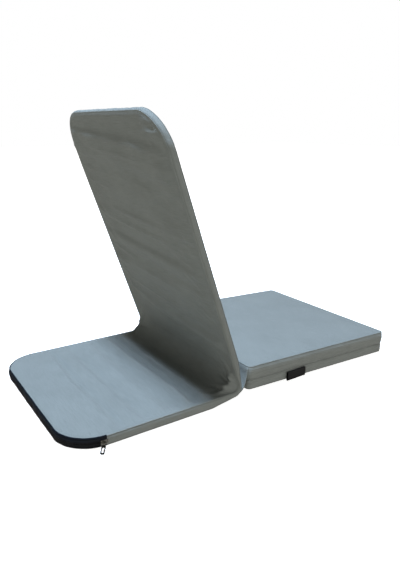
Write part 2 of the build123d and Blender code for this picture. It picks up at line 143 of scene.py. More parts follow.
dress(
    zinc_plate(),
    "hinge_base_plates_left", "hinge_base_plates_right", "hinge_toothed_arm_left",
    "hinge_toothed_arm_right", "hinge_pawl_left", "hinge_pawl_right", "hinge_pivot_rivets",
    "hinge_pawl_rivets", "hinge_pawl_springs",
)

# ---- foam ---------------------------------------------------------------------------------------
# Open-cell polyurethane foam fills the pads: two sheets round each tube frame, a roll in the bend
# and one block in the seat. The covers hide all of it.
FOAM_CREAM = "#E6DFC4"
# painted shade: the colour the cells darken to towards their middles, standing in for shade inside
# the open pores
FOAM_PAINTED_PORE_SHADE = "#C2B893"
FOAM_CELL = 1.2 * MM           # real cells are about 0.6 mm wide; drawn coarser to show


def cut_foam():
    """Cut foam: dull cream, full of small cells, each painted darker towards its middle as painted
    shade inside the open pore.
    """
    material, tree, shader = start_material("polyurethane_foam", metallic=0.0, roughness=0.95)
    place = add_node(tree, "TexCoord").outputs["Object"]
    cells = add_node(tree, "TexVoronoi", {"Vector": place, "Scale": 1 / FOAM_CELL})
    # painted shade: each cell darkens towards its middle, as the shade inside an open pore
    tone = add_node(
        tree, "Mix", {0: cells, 6: linear(FOAM_PAINTED_PORE_SHADE), 7: linear(FOAM_CREAM)}, data_type="RGBA"
    )
    tree.links.new(tone.outputs[2], shader.inputs["Base Color"])
    return material


dress(
    cut_foam(),
    "base_foam_upper", "base_foam_lower", "back_foam_front", "back_foam_rear", "bend_foam",
    "seat_foam_block",
)

# ---- base and back cover ------------------------------------------------------------------------
# One grey cover of woven polyester runs over the base pad, round the hinges and up over the back
# pad. It is sewn inside out from two long faces and a narrow side wall, turned and pulled over the
# foam, so every edge has a turned seam and the cloth puckers in the corners and in the bend.
CLOTH_LIGHT = "#858A88"
CLOTH_DARK = "#616665"
THREAD_PITCH = 0.9 * MM        # real threads lie about 0.45 mm apart; drawn twice as coarse to show
CREASE_SIZE = 14.0 * MM
CREASE_DEPTH = 0.6 * MM
SLUB_SCALE = 30.0              # a thick thread fades in and out about every 33 mm
SLUB_SPREAD = 0.7              # and is about one and a half threads wide
FADE_SCALE = 11.0              # lighter and darker patches of about 90 mm
WAVE_PERIOD = 0.314            # a wave texture of scale 1 repeats every pi / 10
TAPE_LIGHT = "#141A22"
TAPE_DARK = "#090C12"
TAPE_PITCH = 0.7 * MM          # drawn coarser than real tape, to show

fold = next(j for j in frame["joints"] if j["name"] == "back_fold")
PIVOT = np.array(fold["pos_m"])
base_low, base_high = (np.array(corner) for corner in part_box("base_cover_bottom"))
HALF = base_high[0]
BASE_REACH = base_high[1] - PIVOT[1]
BEND_REACH = base_low[1] - PIVOT[1]
BASE_THICKNESS = 20.0 * MM
BASE_CROWN = 2.3 * MM
BASE_CORNER = 68.0 * MM
BACK_ANGLE = math.radians(70.75)
BACK_REACH = 527.0 * MM
BACK_THICKNESS = 14.8 * MM
BACK_CROWN = 1.8 * MM
BACK_CORNER = 70.0 * MM
BACK_OFFSET = 18.6 * MM        # pivot to the back's mid-plane
BEND_OUTER = 17.0 * MM
BEND_INNER = 37.0 * MM
BEND_INNER_END = 13.0 * MM     # the corner is tighter at the bend's two ends, outside the hinges
BEND_END_FROM = 183.5 * MM     # from the middle; it tightens from here
BEND_END_FULL = 194.5 * MM
BEND_LENGTH = 84.0 * MM        # length of flat cloth that the bend takes up
TOP_ROLL = 1.2 * MM            # the back's rear face rolls in this far at its top edge
TOP_ROLL_WIDTH = 15.0 * MM     # over this strip inside the outline
TOP_ROLL_FROM = 120.0 * MM     # below the top; it fades in from here
TOP_ROLL_FULL = 50.0 * MM
SEAM_STRIP = 5.0 * MM          # the strip along the seams that no fold reaches

UP_BACK = np.array([math.cos(BACK_ANGLE), math.sin(BACK_ANGLE)])
OUT_FRONT = np.array([-math.sin(BACK_ANGLE), math.cos(BACK_ANGLE)])
BASE_LENGTH = BASE_REACH - BEND_REACH
BACK_START = BASE_LENGTH + BEND_LENGTH
COVER_LENGTH = BACK_START + BACK_REACH - BEND_REACH
BEND_MIDDLE = BASE_LENGTH + 0.5 * BEND_LENGTH
BASE_LOW = -PIVOT[2]
BASE_TOP = BASE_LOW + BASE_THICKNESS
BACK_FRONT = BACK_OFFSET + BACK_THICKNESS / 2
BACK_REAR = BACK_OFFSET - BACK_THICKNESS / 2


def woven_cloth(name, light, dark, pitch, roughness, specular, sheen):
    """Plain-weave polyester: warp and weft threads pass over each other in turn, a few are thicker,
    and the whole is slightly uneven in tone. Gives a dull two-tone grain with a soft sheen."""
    material, tree, shader = start_material(name, metallic=0.0, roughness=roughness)
    shader.inputs["Specular IOR Level"].default_value = specular
    shader.inputs["Sheen Weight"].default_value = sheen
    shader.inputs["Sheen Roughness"].default_value = 0.4
    flat = add_node(tree, "UVMap", uv_map="cloth")
    wave = {"Vector": flat, "Scale": WAVE_PERIOD / pitch, "Distortion": 0.6, "Detail": 1.0}
    warp = add_node(tree, "TexWave", wave, bands_direction="X")
    weft = add_node(tree, "TexWave", wave, bands_direction="Y")
    weave = add_node(tree, "Math", {0: warp.outputs[1], 1: weft.outputs[1]}, operation="MAXIMUM")
    stretched = add_node(
        tree, "Mapping", {"Vector": flat, "Scale": (SLUB_SCALE, SLUB_SPREAD / pitch, 1.0)}
    )
    slub = add_node(tree, "TexNoise", {"Vector": stretched, "Scale": 1.0, "Detail": 2.0})
    faded = add_node(
        tree, "TexNoise", {"Vector": flat, "Scale": FADE_SCALE, "Detail": 4.0, "Roughness": 0.6}
    )
    crease = add_node(
        tree, "TexNoise",
        {"Vector": flat, "Scale": 1 / CREASE_SIZE, "Detail": 3.0, "Roughness": 0.55},
    )
    tone = add_node(tree, "Mix", {0: weave, 6: linear(dark), 7: linear(light)}, data_type="RGBA")
    share = add_node(tree, "MapRange", {"Value": slub, 1: 0.45, 2: 0.8, 3: 0.0, 4: 0.5})
    tone = add_node(tree, "Mix", {0: share, 6: tone.outputs[2], 7: linear(dark)}, data_type="RGBA")
    level = add_node(tree, "MapRange", {"Value": faded, 1: 0.3, 2: 0.7, 3: 0.94, 4: 1.05})
    tone = add_node(tree, "VectorMath", {0: tone.outputs[2], "Scale": level}, operation="SCALE")
    tree.links.new(tone.outputs[0], shader.inputs["Base Color"])
    grain = add_node(tree, "Bump", {"Height": weave, "Distance": 0.12 * pitch, "Strength": 0.6})
    worn = add_node(
        tree, "Bump",
        {"Height": crease, "Distance": CREASE_DEPTH, "Strength": 0.5, "Normal": grain},
    )
    tree.links.new(worn.outputs[0], shader.inputs["Normal"])
    return material


grey_cloth = woven_cloth(
    "woven_grey_polyester", CLOTH_LIGHT, CLOTH_DARK, THREAD_PITCH,
    roughness=0.62, specular=0.25, sheen=0.1,
)
black_tape = woven_cloth(
    "woven_black_zip_tape", TAPE_LIGHT, TAPE_DARK, TAPE_PITCH,
    roughness=0.68, specular=0.3, sheen=0.0,
)


def ramp(value, low, high):
    """0 below low, 1 above high, and 3t²-2t³ between."""
    t = np.clip((value - low) / (high - low), 0, 1)
    return t * t * (3 - 2 * t)


def lump(value, centre, width):
    """A bell: exp(-((value - centre) / width)²)."""
    return np.exp(-((value - centre) / width) ** 2)


RUMPLE_CELLS = 64              # the random heights repeat after this many


def rumple(u, v, seed):
    """Random heights from -1 to 1 at whole u and v, joined by quintic curves."""
    table = np.random.default_rng(seed).random((RUMPLE_CELLS, RUMPLE_CELLS)) * 2 - 1
    u, v = np.broadcast_arrays(u, v)
    iu = np.floor(u).astype(int)
    iv = np.floor(v).astype(int)
    fu = u - iu
    fv = v - iv
    fu = fu ** 3 * (fu * (fu * 6 - 15) + 10)
    fv = fv ** 3 * (fv * (fv * 6 - 15) + 10)
    i, j = iu % RUMPLE_CELLS, iv % RUMPLE_CELLS
    i_next, j_next = (iu + 1) % RUMPLE_CELLS, (iv + 1) % RUMPLE_CELLS
    near = table[i, j] * (1 - fu) + table[i_next, j] * fu
    far = table[i, j_next] * (1 - fu) + table[i_next, j_next] * fu
    return near * (1 - fv) + far * fv


def ridge(u, v, seed):
    """Sharp-topped folds: 1 - 2|rumple|, as in cloth that is pulled tight between two points."""
    return 1 - 2 * np.abs(rumple(u, v, seed))


def spread(pattern, size, u, v, seed):
    """height * pattern(u / first length, v / second length). size holds the height and both."""
    return size[0] * pattern(u / size[1], v / size[2], seed)


def along_line(points, shares):
    """Places on a polyline at these shares of its length."""
    run = np.concatenate([[0], np.cumsum(np.linalg.norm(np.diff(points, axis=0), axis=1))])
    wanted = np.asarray(shares) * run[-1]
    return np.stack([np.interp(wanted, run, points[:, k]) for k in range(points.shape[1])], axis=-1)


def arc(centre, radius, start, end, steps=60):
    """Centre plus radius times (cos, sin), from one angle to the other."""
    turn = np.linspace(start, end, steps)
    return np.stack([centre[0] + radius * np.cos(turn), centre[1] + radius * np.sin(turn)], axis=-1)


def make_mesh(name, vertices, faces, finishes, flat, picks=None):
    """A smooth mesh in the scene. flat holds each vertex's place on the flat cloth, in metres."""
    mesh = bpy.data.meshes.new(name)
    mesh.from_pydata(np.asarray(vertices).tolist(), [], np.asarray(faces).tolist())
    for finish in finishes:
        mesh.materials.append(finish)
    if picks is not None:
        mesh.polygons.foreach_set("material_index", np.asarray(picks, np.int32))
    layer = mesh.uv_layers.new(name="cloth")
    corners = np.zeros(len(mesh.loops), np.int32)
    mesh.loops.foreach_get("vertex_index", corners)
    layer.data.foreach_set("uv", np.asarray(flat)[corners].astype(np.float32).ravel())
    mesh.polygons.foreach_set("use_smooth", np.ones(len(mesh.polygons), bool))
    mesh.update()
    piece = bpy.data.objects.new(name, mesh)
    bpy.context.scene.collection.objects.link(piece)
    return piece


def grid_faces(rows, columns, first=0, flip=False):
    """Quads between neighbouring rows and columns of a grid of vertices."""
    i, j = np.meshgrid(np.arange(rows - 1), np.arange(columns - 1), indexing="ij")
    a = first + i * columns + j
    quads = np.stack([a, a + 1, a + columns + 1, a + columns], axis=-1).reshape(-1, 4)
    return quads[:, ::-1] if flip else quads


class Pad:
    """A sewn pad in the flat: x across and s along. Its outline is a rectangle with round corners.

    Every row has a corner radius r, a turn t and a centre c, so that at an inset i from the outline
    its half width is half - r + (r - i) sin t, and its s is c -/+ (r - i) cos t. Its columns stand
    at sin(crowding u) / sin(crowding), for u from -1 to 1, so they are closest at the sides.
    """

    crowding = 1.2

    def __init__(self, half, length, first_corner, last_corner, columns, middle, turns):
        self.half = half
        share = np.linspace(-self.crowding, self.crowding, columns + 1)
        self.across = np.sin(share) / math.sin(self.crowding)
        quarter = np.linspace(0, math.pi / 2, turns + 1)
        ones = np.ones(turns + 1)
        self.radius = np.concatenate([first_corner * ones, 0 * middle, last_corner * ones])
        self.sine = np.concatenate([np.sin(quarter), 0 * middle + 1, np.sin(quarter[::-1])])
        self.cosine = np.concatenate([-np.cos(quarter), 0 * middle, np.cos(quarter[::-1])])
        self.centre = np.concatenate([first_corner * ones, middle, (length - last_corner) * ones])
        last = len(self.radius) - 1
        j = np.arange(columns + 1)
        i = np.arange(1, last)
        self.edge_i = np.concatenate([0 * j, i, 0 * j + last, i[::-1]])
        self.edge_j = np.concatenate([j, 0 * i + columns, j[::-1], 0 * i])

    def rows(self, inset):
        """Each row's half width and its s."""
        reach = self.radius - inset
        return self.half - self.radius + reach * self.sine, self.centre + reach * self.cosine

    def face(self, inset):
        """The grid's x and s."""
        wide, s = self.rows(inset)
        return wide[:, None] * self.across, s[:, None] + 0 * self.across

    def ring(self, inset, push=0.0):
        """The outline stepped in by inset, with each point then pushed outwards."""
        wide, s = self.rows(inset)
        x = wide[self.edge_i] * self.across[self.edge_j]
        s = s[self.edge_i]
        sine = self.sine[self.edge_i]
        cosine = self.cosine[self.edge_i]
        inner = (self.edge_j > 0) & (self.edge_j < len(self.across) - 1)
        out_x = np.where(inner, 0, np.sign(self.across[self.edge_j]) * sine)
        out_s = np.where(inner, np.sign(cosine), cosine)
        return x + out_x * push, s + out_s * push

    def run(self):
        """Length along the outline."""
        x, s = self.ring(0.0)
        return np.concatenate([[0], np.cumsum(np.hypot(np.diff(x), np.diff(s)))])


FACE_MARGIN = 2.0 * MM         # from the grids' edges to the first ring
WALL_FLAT = 20.0 * MM          # a wall's height in the flat pattern of its cloth


def sew_pad(name, pad, shape, low_relief, high_relief, rings, ring_relief, finishes, wall_finish):
    """Two grids for the faces, joined by rings over the seams and the wall. A ring is (inset, n),
    and n runs from 0 at the low face to 1 at the high one. shape bends the flat pad into place."""
    inset = rings[0][0] + FACE_MARGIN
    x, s = pad.face(inset)
    rows, columns = x.shape
    low = shape(x, s, np.zeros_like(x), low_relief(x, s))
    high = shape(x, s, np.ones_like(x), high_relief(x, s))
    vertices = [low.reshape(-1, 3), high.reshape(-1, 3)]
    flat = [np.stack([x, s], -1).reshape(-1, 2)] * 2
    faces = [grid_faces(rows, columns), grid_faces(rows, columns, rows * columns, True)]
    picks = [np.zeros(2 * (rows - 1) * (columns - 1), int)]
    run = pad.run()
    edge = pad.edge_i * columns + pad.edge_j
    belts = [edge]
    total = 2 * rows * columns
    for step_in, n in rings:
        ring_x, ring_s = pad.ring(step_in)
        push = ring_relief(run, ring_x, ring_s, n)
        ring_x, ring_s = pad.ring(step_in, push)
        vertices.append(shape(ring_x, ring_s, np.full(len(ring_x), n), 0 * ring_x))
        flat.append(np.stack([run, 0 * run + n * WALL_FLAT - step_in], -1))
        belts.append(total + np.arange(len(ring_x)))
        total += len(ring_x)
    belts.append(edge + rows * columns)
    steps = [inset, *(step_in for step_in, n in rings), inset]
    ring_s = pad.ring(0.0)[1]
    for k in range(len(belts) - 1):
        a, b = belts[k], belts[k + 1]
        faces.append(np.stack([a, b, np.roll(b, -1), np.roll(a, -1)], axis=-1))
        picks.append(wall_finish(ring_s, (steps[k] + steps[k + 1]) / 2) + 0 * a)
    return make_mesh(
        name, np.concatenate(vertices), np.concatenate(faces), finishes, np.concatenate(flat),
        np.concatenate(picks),
    )


SEAM_ROLL = (                  # one turned edge: mm in from the outline, and mm from the face
    (5.2, 0.0), (3.8, 0.12), (2.9, 0.42), (2.3, 0.62), (1.6, 0.50), (0.8, 0.78), (0.25, 1.25),
    (0.15, 1.75), (0.45, 2.25), (1.25, 2.6), (0.55, 2.95), (0.1, 3.5),
)


def turned_seams(thickness, wall):
    """Rings over one edge: the face rolls down, dips into the seam, and comes out on the wall. The
    other edge is the same upside down, with the wall's own rings between."""
    low = [(inset * MM, depth * MM / thickness) for inset, depth in SEAM_ROLL]
    return low + wall + [(inset, 1 - n) for inset, n in reversed(low)]


def back_point(along, front):
    """A place in the back's own frame as y and z from the pivot."""
    return along * UP_BACK + front * OUT_FRONT


def inner_bend(radius):
    """Cloth in the corner: off the base, round an arc that touches both, on to the back's rear."""
    height = BASE_TOP + radius
    centre = ((radius - BACK_REAR + height * UP_BACK[0]) / UP_BACK[1], height)
    round_corner = arc(centre, radius, -math.pi / 2, BACK_ANGLE - 1.5 * math.pi)
    last = back_point(BEND_REACH, BACK_REAR)
    return np.concatenate([[(BEND_REACH, BASE_TOP)], round_corner, [last]])


def outer_bend():
    """Cloth outside: off the floor, round the hinge and up on to the back's front, along the two
    tangents to the round."""
    foot = np.array([BEND_REACH, BASE_LOW])
    top = back_point(BEND_REACH, BACK_FRONT)
    first = math.atan2(foot[1], foot[0]) - math.acos(BEND_OUTER / math.hypot(*foot))
    last = math.atan2(top[1], top[0]) + math.acos(BEND_OUTER / math.hypot(*top)) - 2 * math.pi
    return np.concatenate([[foot], arc((0, 0), BEND_OUTER, first, last), [top]])


INNER_BEND = inner_bend(BEND_INNER)
INNER_BEND_END = inner_bend(BEND_INNER_END)
OUTER_BEND = outer_bend()


def outline_distance(x, s):
    """How far inside the back's upper outline a place is, round corners included."""
    over_x = np.abs(x) - HALF + BACK_CORNER
    over_s = s - COVER_LENGTH + BACK_CORNER
    straight = np.minimum(HALF - np.abs(x), COVER_LENGTH - s)
    return np.where((over_x > 0) & (over_s > 0), BACK_CORNER - np.hypot(over_x, over_s), straight)


def cover_shape(x, s, n, lift):
    """Straight along the base, round the bend's two lines, straight up the back. n runs from the
    underside to the top, and lift raises either face off its own plane. The rear face drops towards
    the back's top edge by top roll (1 - distance / width)^1.6."""
    along = (s - BACK_START + BEND_REACH)[..., None]
    share = np.clip((s - BASE_LENGTH) / BEND_LENGTH, 0, 1)
    on_base = (s <= BASE_LENGTH)[..., None]
    on_back = (s >= BACK_START)[..., None]
    end = ramp(np.abs(x), BEND_END_FROM, BEND_END_FULL)[..., None]
    bent_inner = along_line(INNER_BEND, share) * (1 - end)
    bent_inner = bent_inner + along_line(INNER_BEND_END, share) * end
    places = []
    for bent_place, level, front in (
        (along_line(OUTER_BEND, share), BASE_LOW, BACK_FRONT),
        (bent_inner, BASE_TOP, BACK_REAR),
    ):
        base_place = np.stack([BASE_REACH - s, level + 0 * s], -1)
        back_place = along * UP_BACK + front * OUT_FRONT
        places.append(np.where(on_base, base_place, np.where(on_back, back_place, bent_place)))
    outer, inner = places
    through = inner - outer
    through /= np.linalg.norm(through, axis=-1, keepdims=True)
    rolled = np.clip(1 - outline_distance(x, s) / TOP_ROLL_WIDTH, 0, 1) ** 1.6
    rolled = rolled * np.clip(2 * n - 1, 0, 1)
    at_top = ramp(s, COVER_LENGTH - TOP_ROLL_FROM, COVER_LENGTH - TOP_ROLL_FULL)
    lift = (lift - TOP_ROLL * rolled * at_top) * np.where(n > 0.5, 1, -1)
    place = outer + (inner - outer) * n[..., None] + through * lift[..., None]
    return np.stack([x, place[..., 0] + PIVOT[1], place[..., 1] + PIVOT[2]], axis=-1)


def inside_edge(x, s, width):
    """0 at the cover's outline and 1 from this far inside."""
    full = SEAM_STRIP + width
    side = ramp(HALF - np.abs(x), SEAM_STRIP, full)
    return side * ramp(s, SEAM_STRIP, full) * ramp(COVER_LENGTH - s, SEAM_STRIP, full)


def crown(x, s, start, length, height):
    """Swell of a pad held down at its edges: height (1 - (x / half)⁴) sqrt(4 t (1 - t))."""
    t = np.clip((s - start) / length, 0, 1)
    return height * (1 - (x / HALF) ** 4) * np.sqrt(np.clip(4 * t * (1 - t), 0, 1))


CROWN_OVERLAP = 20.0 * MM      # both crowns run this far into the bend


def cover_swell(x, s):
    """The base's crown and the back's."""
    base = crown(x, s, 0, BASE_LENGTH + CROWN_OVERLAP, BASE_CROWN)
    start = BACK_START - CROWN_OVERLAP
    return base + crown(x, s, start, COVER_LENGTH - start, BACK_CROWN)


# Folds, each as its height and its length across and along the cover.
HOLLOWS = (1.5 * MM, 120 * MM, 75 * MM)
BANDS = (6.4 * MM, 300 * MM, 28 * MM)
BAND_RIDGES = (2.4 * MM, 200 * MM, 26 * MM)
BAND_SLOPE = 0.09
SIDE_BANDS = (1.8 * MM, 60 * MM, 13 * MM)
SIDE_SLOPE = 0.42
SIDE_REACH = 55 * MM
CORNER_CREASES = (2.2 * MM, 17 * MM, 40 * MM)
CREASE_SLOPE = 0.8
CORNER_REACH = (60 * MM, 70 * MM)      # in from the side and down from the top
BASE_FOLDS = MM * np.array([   # the base's cross folds: place from its rear edge, height and width
    (98, -4.0, 6), (147, -3.8, 8), (182, 3.2, 10), (205, -5.0, 8), (232, 5.0, 10), (252, -6.0, 8),
    (270, 4.4, 8),
])
FOLD_DRIFT = (5 * MM, 100 * MM, 10 * MM)
FOLD_FADE = (0.5, 70 * MM, 10 * MM)
PUCKERS = (7.0 * MM, 0.24, 50 * MM)    # the second is an angle, since they fan out
PUCKER_LIFT = 3.4 * MM
PUCKER_REACH = (62 * MM, 6 * MM)       # they grow from this far inside the side to this far
PUCKER_FOOT = 10 * MM          # outside the side, where they fan out from
PUCKER_SPAN = 42 * MM          # to either side of the bend's middle
PUCKERS_FAR = 0.35             # the far side's share
FOLD_MARGIN = 24 * MM          # folds fade in over this strip inside the seams' own
PUCKER_MARGIN = 9 * MM
FRONT_MARGIN = 18 * MM
DEEPEST_ON_BASE = 3.0 * MM     # a hollow may sink this far before the cloth lies on the tubes
DEEPEST_ON_BACK = 1.3 * MM
FRONT_HOLLOWS = (0.5 * MM, 130 * MM, 80 * MM)
FRONT_BANDS = (0.45 * MM, 300 * MM, 24 * MM)
FRONT_RIDGES = (0.2 * MM, 180 * MM, 18 * MM)
FRONT_BEND_FOLDS = (0.8 * MM, 220 * MM, 15 * MM)


def base_folds(x, s):
    """A sum of bells height (1.05 + fade) exp(-((s - place - drift) / width)²), where fade and
    drift wander along each fold."""
    total = 0 * s
    for where, height, width in BASE_FOLDS:
        drift = spread(rumple, FOLD_DRIFT, x, where + 0 * s, 17)
        fade = spread(rumple, FOLD_FADE, x, where + 0 * s, 19)
        total = total + height * (1.05 + fade) * lump(s, where + drift, width)
    return total


def bend_puckers(x, s):
    """Folds that fan out from the bend's two ends: lift - depth * ridge(angle round the end)."""
    side = HALF - np.abs(x)
    fan = np.arctan2(s - BEND_MIDDLE, side + PUCKER_FOOT)
    end = ramp(-side, -PUCKER_REACH[0], -PUCKER_REACH[1]) * np.where(x < 0, 1, PUCKERS_FAR)
    folds = PUCKER_LIFT - spread(ridge, PUCKERS, fan, side, 15)
    return end * lump(s, BEND_MIDDLE, PUCKER_SPAN) * folds


def top_and_rear_relief(x, s):
    """Crown, then broad hollows, then slanting bands up the back and cross folds on the base, then
    the bend's puckers, and creases across the back's top corners. What sinks is held above the
    tubes by deepest * tanh(height / deepest)."""
    up_back = ramp(s, BACK_START - 10 * MM, BACK_START + 60 * MM)
    slant = s - BAND_SLOPE * x
    bands = spread(rumple, BANDS, x, slant, 11) + spread(ridge, BAND_RIDGES, x, slant, 12)
    side_bands = spread(ridge, SIDE_BANDS, x, s - SIDE_SLOPE * x, 18)
    bands += lump(np.abs(x), HALF, SIDE_REACH) * side_bands
    side = HALF - np.abs(x)
    top = COVER_LENGTH - s
    corner = lump(side, 0, CORNER_REACH[0]) * lump(top, 0, CORNER_REACH[1])
    creases = corner * spread(ridge, CORNER_CREASES, side + CREASE_SLOPE * top, side - top, 16)
    soft = spread(rumple, HOLLOWS, x, s, 13) + bands * up_back + base_folds(x, s) + creases
    height = soft * inside_edge(x, s, FOLD_MARGIN)
    height = height + bend_puckers(x, s) * inside_edge(x, s, PUCKER_MARGIN)
    deepest = DEEPEST_ON_BASE * (1 - up_back) + DEEPEST_ON_BACK * up_back
    return cover_swell(x, s) + np.where(height < 0, deepest * np.tanh(height / deepest), height)


def front_relief(x, s):
    """The back's front face has the same crown, with fainter hollows and bands and a few folds over
    the bend. The base's underside is flat on the floor."""
    bands = spread(rumple, FRONT_BANDS, x, s, 21) + spread(ridge, FRONT_RIDGES, x, s, 22)
    folds = lump(s, BACK_START, 40 * MM) * spread(rumple, FRONT_BEND_FOLDS, x, s, 24)
    soft = spread(rumple, FRONT_HOLLOWS, x, s, 23) + bands + folds
    lifted = ramp(s, BASE_LENGTH + 0.45 * BEND_LENGTH, BACK_START)
    return lifted * (cover_swell(x, s) + soft * inside_edge(x, s, FRONT_MARGIN))


def bowed(n):
    """0 at both edges of a wall and 1 half way up: sin πn, kept just above 0."""
    return math.sin(math.pi * min(max(n, 0.02), 0.98))


WALL_SWELL = (0.45 * MM, 45 * MM, 1.0)     # the last is a share of the wall's height
WALL_GATHERS = (1.0 * MM, 10.5 * MM, 1 / 1.5)
WALL_CORNER_REACH = 60 * MM
WALL_BEND_REACH = 36 * MM


def wall_pulls(run, x, s, n):
    """Slow swell and quick gathers along the side wall, stronger round corners and in the bend:
    swell + (0.2 + 0.55 corner + 0.7 bend) gathers."""
    corner = lump(s, 0, WALL_CORNER_REACH) + lump(s, COVER_LENGTH, WALL_CORNER_REACH)
    bend = lump(s, BEND_MIDDLE, WALL_BEND_REACH)
    slow = spread(rumple, WALL_SWELL, run, 1.5 + 0 * run, 31)
    quick = spread(rumple, WALL_GATHERS, run, n + 0 * run, 32)
    return (slow + (0.2 + 0.55 * corner + 0.7 * bend) * quick) * math.sqrt(bowed(n))


ZIP_OVERRUN = 2.0 * MM         # the tape runs on past the corners' ends
TAPE_INSET = 2.7 * MM          # from the outline; grey cloth covers the rest of the edge
COVER_WALL_BOW = 0.7 * MM
COARSE_STEP = 3.2 * MM
FINE_STEP = 1.8 * MM


def zip_where(s, inset):
    """1, the zip's tape, on the wall round the base's rear end and both its corners. 0, grey cloth,
    elsewhere."""
    return ((s < BASE_CORNER + ZIP_OVERRUN) & (inset < TAPE_INSET)).astype(int)


fine_from = BASE_LENGTH - 30 * MM      # closer rows through the bend
fine_to = BACK_START + 20 * MM
cover_rows = np.concatenate([
    np.arange(BASE_CORNER, fine_from, COARSE_STEP)[1:],
    np.arange(fine_from, fine_to, FINE_STEP),
    np.arange(fine_to, COVER_LENGTH - BACK_CORNER, COARSE_STEP),
])
cover_wall = [(-COVER_WALL_BOW * math.sin(math.pi * t), t) for t in (0.3, 0.4, 0.5, 0.6, 0.7)]
cover = sew_pad(
    "base_and_back_cover",
    Pad(HALF, COVER_LENGTH, BASE_CORNER, BACK_CORNER, columns=112, middle=cover_rows, turns=26),
    cover_shape,
    front_relief,
    top_and_rear_relief,
    turned_seams(BASE_THICKNESS, cover_wall),
    wall_pulls,
    [grey_cloth, black_tape],
    zip_where,
)
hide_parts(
    "base_cover_top", "base_cover_bottom", "base_cover_side_walls", "back_cover_front",
    "back_cover_rear", "back_cover_side_wall", "bend_cover", "bend_foam", "base_foam_upper",
    "base_foam_lower", "back_foam_front", "back_foam_rear", "zipper_tape_upper",
    "zipper_tape_lower",
)
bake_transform(cover)

# ---- zip coil -----------------------------------------------------------------------------------
# The base's cover closes with a nylon coil zip along its rear wall and round both rear corners: two
# rows of small turns of drawn filament, sewn to the tapes.
COIL_BLACK = "#0B0D12"
COIL_PITCH = 1.55 * MM
COIL_LEVELS = np.array([0.15, 0.9, 2.1, 2.9]) * MM     # up from the mid-line, and down
COIL_FULLNESS = np.array([0.55, 1.0, 1.0, 0.6])        # a turn is thinner at both ends
COIL_PROUD = 0.6 * MM          # a turn's middle, out from the wall
COIL_DEPTH = 0.75 * MM         # half its depth
COIL_WIDTH = 0.55 * MM         # half its width
COIL_SIDES = 8
COIL_MARGIN = 2.0 * MM         # from each end of the zip
DUST_SCALE = 90.0              # patches of about 11 mm
ZIP_LENGTH = math.pi * BASE_CORNER + 2 * (HALF - BASE_CORNER)


def nylon():
    """Drawn nylon filament: smooth, nearly black, with small sharp highlights dulled by dust."""
    material, tree, shader = start_material("nylon_coil", metallic=0.0, roughness=0.34)
    place = add_node(tree, "TexCoord").outputs["Object"]
    dust = add_node(tree, "TexNoise", {"Vector": place, "Scale": DUST_SCALE, "Detail": 3.0})
    gloss = add_node(tree, "MapRange", {"Value": dust, 1: 0.3, 2: 0.7, 3: 0.28, 4: 0.5})
    tree.links.new(gloss.outputs[0], shader.inputs["Roughness"])
    shader.inputs["Base Color"].default_value = linear(COIL_BLACK)
    return material


def zip_path(run):
    """Round a quarter circle, along a straight and round a quarter circle: each place, and the
    outward way there."""
    straight = HALF - BASE_CORNER
    quarter = BASE_CORNER * math.pi / 2
    turn = np.pi - np.clip(run, 0, quarter) / BASE_CORNER
    turn = turn - np.clip(run - quarter - 2 * straight, 0, quarter) / BASE_CORNER
    out = np.stack([np.cos(turn), np.sin(turn)], -1)
    shift = np.clip(run - quarter, 0, 2 * straight) - straight
    middle = np.stack([shift, PIVOT[1] + BASE_REACH - BASE_CORNER + 0 * run], -1)
    return middle + BASE_CORNER * out, out


def zip_coils():
    """Each turn is an eight-sided tube through four levels. At each level it is the ellipse proud +
    depth * fullness * sin a outwards and width * fullness * cos a along the zip. The lower row is
    the upper one mirrored, half a pitch on."""
    starts = np.arange(COIL_MARGIN, ZIP_LENGTH - COIL_MARGIN, COIL_PITCH)
    run = np.concatenate([starts, starts + COIL_PITCH / 2])
    row = np.concatenate([0 * starts + 1, 0 * starts - 1])
    place, out = (part[:, None, None, :] for part in zip_path(run))
    way = np.stack([out[..., 1], -out[..., 0]], -1)
    turn = 2 * math.pi * np.arange(COIL_SIDES) / COIL_SIDES
    proud = COIL_PROUD + COIL_DEPTH * COIL_FULLNESS[:, None] * np.sin(turn)
    along = COIL_WIDTH * COIL_FULLNESS[:, None] * np.cos(turn)
    flat_place = place + out * proud[..., None] + way * along[..., None]
    z = BASE_THICKNESS / 2 + row[:, None, None] * COIL_LEVELS[:, None] + 0 * turn
    vertices = np.concatenate([flat_place, z[..., None]], -1).reshape(-1, 3)
    level, side = np.meshgrid(np.arange(3), np.arange(COIL_SIDES), indexing="ij")
    a = level * COIL_SIDES + side
    b = level * COIL_SIDES + (side + 1) % COIL_SIDES
    walls = np.stack([a, b, b + COIL_SIDES, a + COIL_SIDES], -1).reshape(-1, 4)
    k = np.arange(0, COIL_SIDES - 2, 2)
    ends = np.stack([0 * k, (k + 3) % COIL_SIDES, k + 2, k + 1], -1)
    one = np.concatenate([walls, ends, ends[:, ::-1] + 3 * COIL_SIDES])
    flipped = np.where((row > 0)[:, None, None], one, one[:, ::-1])
    faces = flipped + (np.arange(len(run)) * 4 * COIL_SIDES)[:, None, None]
    return make_mesh("zip_coil_turns", vertices, faces.reshape(-1, 4), [nylon()], vertices[:, :2])


coils = zip_coils()
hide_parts("zipper_coils")
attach(coils, "base")

# ---- zip slider, pull and end stops -------------------------------------------------------------
# A die-cast zinc runner closes the coil. A stamped pull hangs from its bridge, and a metal stop is
# crimped over each end of the coil. All are nickel plated.
NICKEL_BRIGHT = "#C6C5C1"
NICKEL_SHADE = "#8F8E89"
RUB_SIZE = 0.5 * MM            # small scratches from tumbling
PATCH_SCALE = 160.0            # duller patches of about 6 mm


